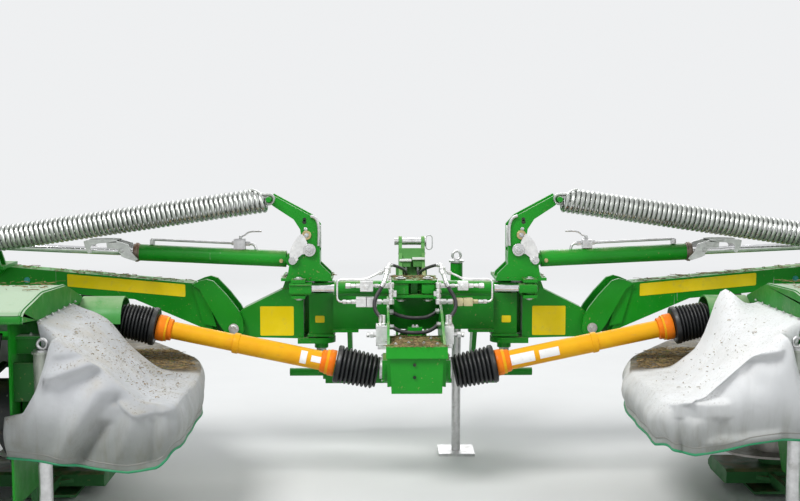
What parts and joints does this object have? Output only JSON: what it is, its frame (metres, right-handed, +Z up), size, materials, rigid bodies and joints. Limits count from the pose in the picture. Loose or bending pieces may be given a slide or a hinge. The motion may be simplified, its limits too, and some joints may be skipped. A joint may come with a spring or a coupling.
{
  "type": "double-wing disc mower conditioner",
  "caption": "Rear-mounted butterfly disc mower conditioner: headstock, two folding arms on relief springs, and two disc units with tine rotors under canvas guards",
  "frame": {"origin": "middle of the footprint, on the ground, below the centre of the whole machine", "axes": "+Y forwards to the tractor end, +X to the right wing, +Z up; the machine is parked on its skids, stands and parking leg"},
  "size_m": [9.42, 1.72, 1.2019],
  "materials": {
    "frame_green": "gloss machine green, scratched and dusty",
    "pale_green": "lighter green under hay dust",
    "zinc": "zinc plated, slightly dull",
    "chrome_rod": "hard chrome",
    "spring_zinc": "bright zinc plated wire",
    "hose_rubber": "matt black hydraulic hose",
    "boot_black": "ribbed black plastic rubber, dusty",
    "guard_orange": "yellow-orange plastic guard, scuffed",
    "bar_steel": "worn green with bare steel and dried grass",
    "disc_steel": "bare worn steel",
    "rotor_paint": "dark paint, tine tips bare",
    "curtain_canvas": "grey-white coated canvas with brown grass stains"
  },
  "bodies": {
    "root": {"headstock_frame": "frame_green", "top_mast": "pale_green", "top_link_pin": "zinc", "centre_gearbox": "frame_green", "gearbox_guard": "frame_green", "hydraulic_valves": "zinc", "hoses": "hose_rubber"},
    "headstock_leg": {"headstock_leg": "zinc"},
    "swing_left": {"carrier_left": "frame_green", "lock_plate_left": "zinc"},
    "wing_left": {"arm_left": "frame_green", "unit_frame_left": "frame_green", "hood_left": "pale_green", "cutterbar_left": "bar_steel", "curtain_left": "curtain_canvas"},
    "swing_cylinder_left": {"swing_cylinder_left": "frame_green"},
    "swing_rod_left": {"swing_rod_left": "chrome_rod"},
    "lift_cylinder_left": {"lift_cylinder_left": "frame_green", "lift_lock_left": "zinc"},
    "lift_rod_left": {"lift_rod_left": "chrome_rod"},
    "spring_left": {"spring_left": "spring_zinc"},
    "shaft_boot_in_left": {"shaft_boot_in_left": "boot_black"},
    "shaft_boot_out_left": {"shaft_boot_out_left": "boot_black"},
    "shaft_outer_left": {"shaft_outer_left": "guard_orange"},
    "shaft_inner_left": {"shaft_inner_left": "guard_orange"},
    "tine_rotor_left": {"tine_rotor_left": "rotor_paint"},
    "unit_stand_left": {"unit_stand_left": "zinc"},
    "disc_1_left": {"disc_1_left": "disc_steel"},
    "disc_2_left": {"disc_2_left": "disc_steel"},
    "disc_3_left": {"disc_3_left": "disc_steel"},
    "disc_4_left": {"disc_4_left": "disc_steel"},
    "disc_5_left": {"disc_5_left": "disc_steel"},
    "disc_6_left": {"disc_6_left": "disc_steel"},
    "disc_7_left": {"disc_7_left": "disc_steel"},
    "swing_right": {"carrier_right": "frame_green", "lock_plate_right": "zinc"},
    "wing_right": {"arm_right": "frame_green", "unit_frame_right": "frame_green", "hood_right": "pale_green", "cutterbar_right": "bar_steel", "curtain_right": "curtain_canvas"},
    "swing_cylinder_right": {"swing_cylinder_right": "frame_green"},
    "swing_rod_right": {"swing_rod_right": "chrome_rod"},
    "lift_cylinder_right": {"lift_cylinder_right": "frame_green", "lift_lock_right": "zinc"},
    "lift_rod_right": {"lift_rod_right": "chrome_rod"},
    "spring_right": {"spring_right": "spring_zinc"},
    "shaft_boot_in_right": {"shaft_boot_in_right": "boot_black"},
    "shaft_boot_out_right": {"shaft_boot_out_right": "boot_black"},
    "shaft_outer_right": {"shaft_outer_right": "guard_orange"},
    "shaft_inner_right": {"shaft_inner_right": "guard_orange"},
    "tine_rotor_right": {"tine_rotor_right": "rotor_paint"},
    "unit_stand_right": {"unit_stand_right": "zinc"},
    "disc_1_right": {"disc_1_right": "disc_steel"},
    "disc_2_right": {"disc_2_right": "disc_steel"},
    "disc_3_right": {"disc_3_right": "disc_steel"},
    "disc_4_right": {"disc_4_right": "disc_steel"},
    "disc_5_right": {"disc_5_right": "disc_steel"},
    "disc_6_right": {"disc_6_right": "disc_steel"},
    "disc_7_right": {"disc_7_right": "disc_steel"}
  },
  "joints": [
    {"name": "headstock_leg_slide", "type": "slide", "parent": "root", "child": "headstock_leg", "axis": [0, 0, 1], "range_m": [0, 0.3]},
    {"name": "swing_left", "type": "hinge", "parent": "root", "child": "swing_left", "pos_m": [-0.4, 0.51, 0.65], "axis": [0, 0, 1], "range_deg": [0, 12]},
    {"name": "fold_left", "type": "hinge", "parent": "swing_left", "child": "wing_left", "pos_m": [-0.773, 0.51, 0.595], "axis": [0, 1, 0], "range_deg": [0, 90]},
    {"name": "swing_cylinder_turn_left", "type": "hinge", "parent": "root", "child": "swing_cylinder_left", "pos_m": [-0.057, 0.295, 0.786], "axis": [0, 0, 1], "range_deg": [-0.5, 3]},
    {"name": "swing_rod_slide_left", "type": "slide", "parent": "swing_cylinder_left", "child": "swing_rod_left", "axis": [-1, 0, 0], "range_m": [-0.06, 0.005]},
    {"name": "lift_cylinder_turn_left", "type": "hinge", "parent": "swing_left", "child": "lift_cylinder_left", "pos_m": [-0.51, 0.39, 0.899], "axis": [0, 1, 0], "range_deg": [-1, 97]},
    {"name": "lift_rod_slide_left", "type": "slide", "parent": "lift_cylinder_left", "child": "lift_rod_left", "axis": [-0.9989, 0, 0.0461], "range_m": [-0.57, 0.005]},
    {"name": "spring_turn_left", "type": "hinge", "parent": "swing_left", "child": "spring_left", "pos_m": [-0.602, 0.285, 1.159], "axis": [0, 1, 0], "range_deg": [-1, 109], "deforming": ["spring_left"]},
    {"name": "shaft_boot_in_turn_left", "type": "hinge", "parent": "root", "child": "shaft_boot_in_left", "pos_m": [-0.236, 0.08, 0.49], "axis": [0, 1, 0], "range_deg": [-1, 35], "deforming": ["shaft_boot_in_left"]},
    {"name": "shaft_boot_out_turn_left", "type": "hinge", "parent": "wing_left", "child": "shaft_boot_out_left", "pos_m": [-1.122, 0.08, 0.677], "axis": [0, 1, 0], "range_deg": [-60, 1], "deforming": ["shaft_boot_out_left"]},
    {"name": "shaft_yaw_left", "type": "hinge", "parent": "shaft_boot_out_left", "child": "shaft_outer_left", "pos_m": [-1.122, 0.08, 0.677], "axis": [0, 0, 1], "range_deg": [-3, 1]},
    {"name": "shaft_slide_left", "type": "slide", "parent": "shaft_outer_left", "child": "shaft_inner_left", "axis": [-0.9784, 0, 0.2065], "range_m": [-0.005, 0.27]},
    {"name": "rotor_spin_left", "type": "hinge", "parent": "wing_left", "child": "tine_rotor_left", "pos_m": [-2.78, -0.48, 0.47], "axis": [-1, 0, 0], "continuous": true},
    {"name": "stand_slide_left", "type": "slide", "parent": "wing_left", "child": "unit_stand_left", "axis": [0, 0, 1], "range_m": [0, 0.25]},
    {"name": "disc_1_spin_left", "type": "hinge", "parent": "wing_left", "child": "disc_1_left", "pos_m": [-1.46, 0.08, 0.15], "axis": [0, 0, 1], "continuous": true},
    {"name": "disc_2_spin_left", "type": "hinge", "parent": "wing_left", "child": "disc_2_left", "pos_m": [-1.9, 0.08, 0.15], "axis": [0, 0, 1], "continuous": true},
    {"name": "disc_3_spin_left", "type": "hinge", "parent": "wing_left", "child": "disc_3_left", "pos_m": [-2.34, 0.08, 0.15], "axis": [0, 0, 1], "continuous": true},
    {"name": "disc_4_spin_left", "type": "hinge", "parent": "wing_left", "child": "disc_4_left", "pos_m": [-2.78, 0.08, 0.15], "axis": [0, 0, 1], "continuous": true},
    {"name": "disc_5_spin_left", "type": "hinge", "parent": "wing_left", "child": "disc_5_left", "pos_m": [-3.22, 0.08, 0.15], "axis": [0, 0, 1], "continuous": true},
    {"name": "disc_6_spin_left", "type": "hinge", "parent": "wing_left", "child": "disc_6_left", "pos_m": [-3.66, 0.08, 0.15], "axis": [0, 0, 1], "continuous": true},
    {"name": "disc_7_spin_left", "type": "hinge", "parent": "wing_left", "child": "disc_7_left", "pos_m": [-4.1, 0.08, 0.15], "axis": [0, 0, 1], "continuous": true},
    {"name": "swing_right", "type": "hinge", "parent": "root", "child": "swing_right", "pos_m": [0.4, 0.51, 0.65], "axis": [0, 0, -1], "range_deg": [0, 12]},
    {"name": "fold_right", "type": "hinge", "parent": "swing_right", "child": "wing_right", "pos_m": [0.773, 0.51, 0.595], "axis": [0, -1, 0], "range_deg": [0, 90]},
    {"name": "swing_cylinder_turn_right", "type": "hinge", "parent": "root", "child": "swing_cylinder_right", "pos_m": [0.057, 0.295, 0.786], "axis": [0, 0, -1], "range_deg": [-0.5, 3]},
    {"name": "swing_rod_slide_right", "type": "slide", "parent": "swing_cylinder_right", "child": "swing_rod_right", "axis": [1, 0, 0], "range_m": [-0.06, 0.005]},
    {"name": "lift_cylinder_turn_right", "type": "hinge", "parent": "swing_right", "child": "lift_cylinder_right", "pos_m": [0.51, 0.39, 0.899], "axis": [0, -1, 0], "range_deg": [-1, 97]},
    {"name": "lift_rod_slide_right", "type": "slide", "parent": "lift_cylinder_right", "child": "lift_rod_right", "axis": [0.9989, 0, 0.0461], "range_m": [-0.57, 0.005]},
    {"name": "spring_turn_right", "type": "hinge", "parent": "swing_right", "child": "spring_right", "pos_m": [0.602, 0.285, 1.159], "axis": [0, -1, 0], "range_deg": [-1, 109], "deforming": ["spring_right"]},
    {"name": "shaft_boot_in_turn_right", "type": "hinge", "parent": "root", "child": "shaft_boot_in_right", "pos_m": [0.236, 0.08, 0.49], "axis": [0, -1, 0], "range_deg": [-1, 35], "deforming": ["shaft_boot_in_right"]},
    {"name": "shaft_boot_out_turn_right", "type": "hinge", "parent": "wing_right", "child": "shaft_boot_out_right", "pos_m": [1.122, 0.08, 0.677], "axis": [0, -1, 0], "range_deg": [-60, 1], "deforming": ["shaft_boot_out_right"]},
    {"name": "shaft_yaw_right", "type": "hinge", "parent": "shaft_boot_out_right", "child": "shaft_outer_right", "pos_m": [1.122, 0.08, 0.677], "axis": [0, 0, -1], "range_deg": [-3, 1]},
    {"name": "shaft_slide_right", "type": "slide", "parent": "shaft_outer_right", "child": "shaft_inner_right", "axis": [0.9784, 0, 0.2065], "range_m": [-0.005, 0.27]},
    {"name": "rotor_spin_right", "type": "hinge", "parent": "wing_right", "child": "tine_rotor_right", "pos_m": [2.78, -0.48, 0.47], "axis": [1, 0, 0], "continuous": true},
    {"name": "stand_slide_right", "type": "slide", "parent": "wing_right", "child": "unit_stand_right", "axis": [0, 0, 1], "range_m": [0, 0.25]},
    {"name": "disc_1_spin_right", "type": "hinge", "parent": "wing_right", "child": "disc_1_right", "pos_m": [1.46, 0.08, 0.15], "axis": [0, 0, 1], "continuous": true},
    {"name": "disc_2_spin_right", "type": "hinge", "parent": "wing_right", "child": "disc_2_right", "pos_m": [1.9, 0.08, 0.15], "axis": [0, 0, 1], "continuous": true},
    {"name": "disc_3_spin_right", "type": "hinge", "parent": "wing_right", "child": "disc_3_right", "pos_m": [2.34, 0.08, 0.15], "axis": [0, 0, 1], "continuous": true},
    {"name": "disc_4_spin_right", "type": "hinge", "parent": "wing_right", "child": "disc_4_right", "pos_m": [2.78, 0.08, 0.15], "axis": [0, 0, 1], "continuous": true},
    {"name": "disc_5_spin_right", "type": "hinge", "parent": "wing_right", "child": "disc_5_right", "pos_m": [3.22, 0.08, 0.15], "axis": [0, 0, 1], "continuous": true},
    {"name": "disc_6_spin_right", "type": "hinge", "parent": "wing_right", "child": "disc_6_right", "pos_m": [3.66, 0.08, 0.15], "axis": [0, 0, 1], "continuous": true},
    {"name": "disc_7_spin_right", "type": "hinge", "parent": "wing_right", "child": "disc_7_right", "pos_m": [4.1, 0.08, 0.15], "axis": [0, 0, 1], "continuous": true}
  ],
  "couplings": [
    {"joint": "swing_cylinder_turn_left", "follows": "swing_left", "ratio": 0.15795},
    {"joint": "swing_rod_slide_left", "follows": "swing_left", "m_per_rad": -0.2211},
    {"joint": "lift_cylinder_turn_left", "follows": "fold_left", "ratio": 1.0594},
    {"joint": "lift_rod_slide_left", "follows": "fold_left", "m_per_rad": -0.35738},
    {"joint": "spring_turn_left", "follows": "fold_left", "ratio": 1.188},
    {"joint": "shaft_boot_in_turn_left", "follows": "fold_left", "ratio": 0.36688},
    {"joint": "shaft_boot_out_turn_left", "follows": "fold_left", "ratio": -0.63312},
    {"joint": "shaft_yaw_left", "follows": "swing_left", "ratio": -0.14867},
    {"joint": "shaft_slide_left", "follows": "fold_left", "m_per_rad": 0.16728},
    {"joint": "disc_2_spin_left", "follows": "disc_1_spin_left", "ratio": -1},
    {"joint": "disc_3_spin_left", "follows": "disc_1_spin_left", "ratio": 1},
    {"joint": "disc_4_spin_left", "follows": "disc_1_spin_left", "ratio": -1},
    {"joint": "disc_5_spin_left", "follows": "disc_1_spin_left", "ratio": 1},
    {"joint": "disc_6_spin_left", "follows": "disc_1_spin_left", "ratio": -1},
    {"joint": "disc_7_spin_left", "follows": "disc_1_spin_left", "ratio": 1},
    {"joint": "swing_cylinder_turn_right", "follows": "swing_right", "ratio": 0.15795},
    {"joint": "swing_rod_slide_right", "follows": "swing_right", "m_per_rad": -0.2211},
    {"joint": "lift_cylinder_turn_right", "follows": "fold_right", "ratio": 1.0594},
    {"joint": "lift_rod_slide_right", "follows": "fold_right", "m_per_rad": -0.35738},
    {"joint": "spring_turn_right", "follows": "fold_right", "ratio": 1.188},
    {"joint": "shaft_boot_in_turn_right", "follows": "fold_right", "ratio": 0.36688},
    {"joint": "shaft_boot_out_turn_right", "follows": "fold_right", "ratio": -0.63312},
    {"joint": "shaft_yaw_right", "follows": "swing_right", "ratio": -0.14867},
    {"joint": "shaft_slide_right", "follows": "fold_right", "m_per_rad": 0.16728},
    {"joint": "disc_2_spin_right", "follows": "disc_1_spin_right", "ratio": -1},
    {"joint": "disc_3_spin_right", "follows": "disc_1_spin_right", "ratio": 1},
    {"joint": "disc_4_spin_right", "follows": "disc_1_spin_right", "ratio": -1},
    {"joint": "disc_5_spin_right", "follows": "disc_1_spin_right", "ratio": 1},
    {"joint": "disc_6_spin_right", "follows": "disc_1_spin_right", "ratio": -1},
    {"joint": "disc_7_spin_right", "follows": "disc_1_spin_right", "ratio": 1}
  ]
}
